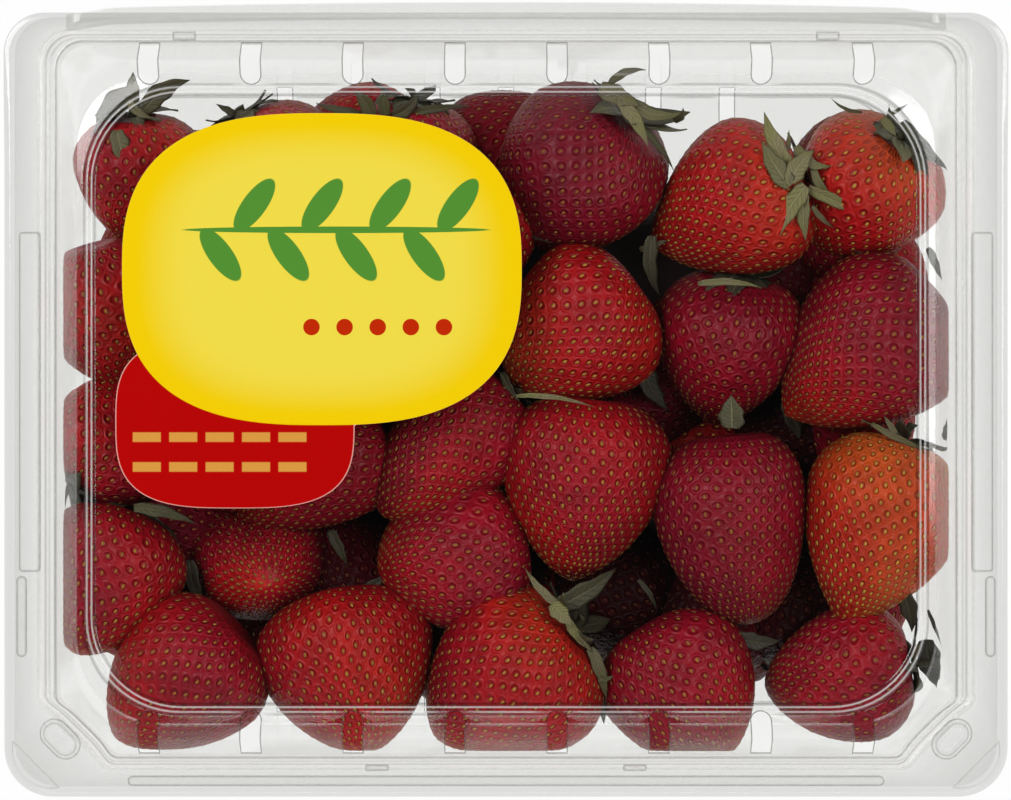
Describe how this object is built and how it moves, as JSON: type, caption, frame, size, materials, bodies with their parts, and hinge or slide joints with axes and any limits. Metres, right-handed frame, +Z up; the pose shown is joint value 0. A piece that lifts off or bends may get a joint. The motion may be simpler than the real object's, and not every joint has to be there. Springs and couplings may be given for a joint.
{
  "type": "hinged clear punnet of strawberries",
  "caption": "Shut clear plastic clamshell punnet with a vented domed lid, a plain label and a heap of strawberries inside.",
  "frame": {"origin": "centre of the box's plan on the surface that the pack stands on", "axes": "+X along the pack's long side, +Y towards the lid's hinge, +Z up"},
  "size_m": [0.2478, 0.1962, 0.0814],
  "materials": {
    "clear_plastic": "clear, glossy",
    "clear_plastic_lid": "clear, glossy",
    "label_film": "printed film, satin",
    "fruit": "moist, satin"
  },
  "bodies": {
    "base": {"base_tub": "clear_plastic", "strawberry_heap": "fruit"},
    "lid": {"lid": "clear_plastic_lid", "label": "label_film"}
  },
  "joints": [
    {"name": "lid_hinge", "type": "hinge", "parent": "base", "child": "lid", "pos_m": [0, 0.0982, 0.05625], "axis": [-1, 0, 0], "range_deg": [0, 180]}
  ]
}
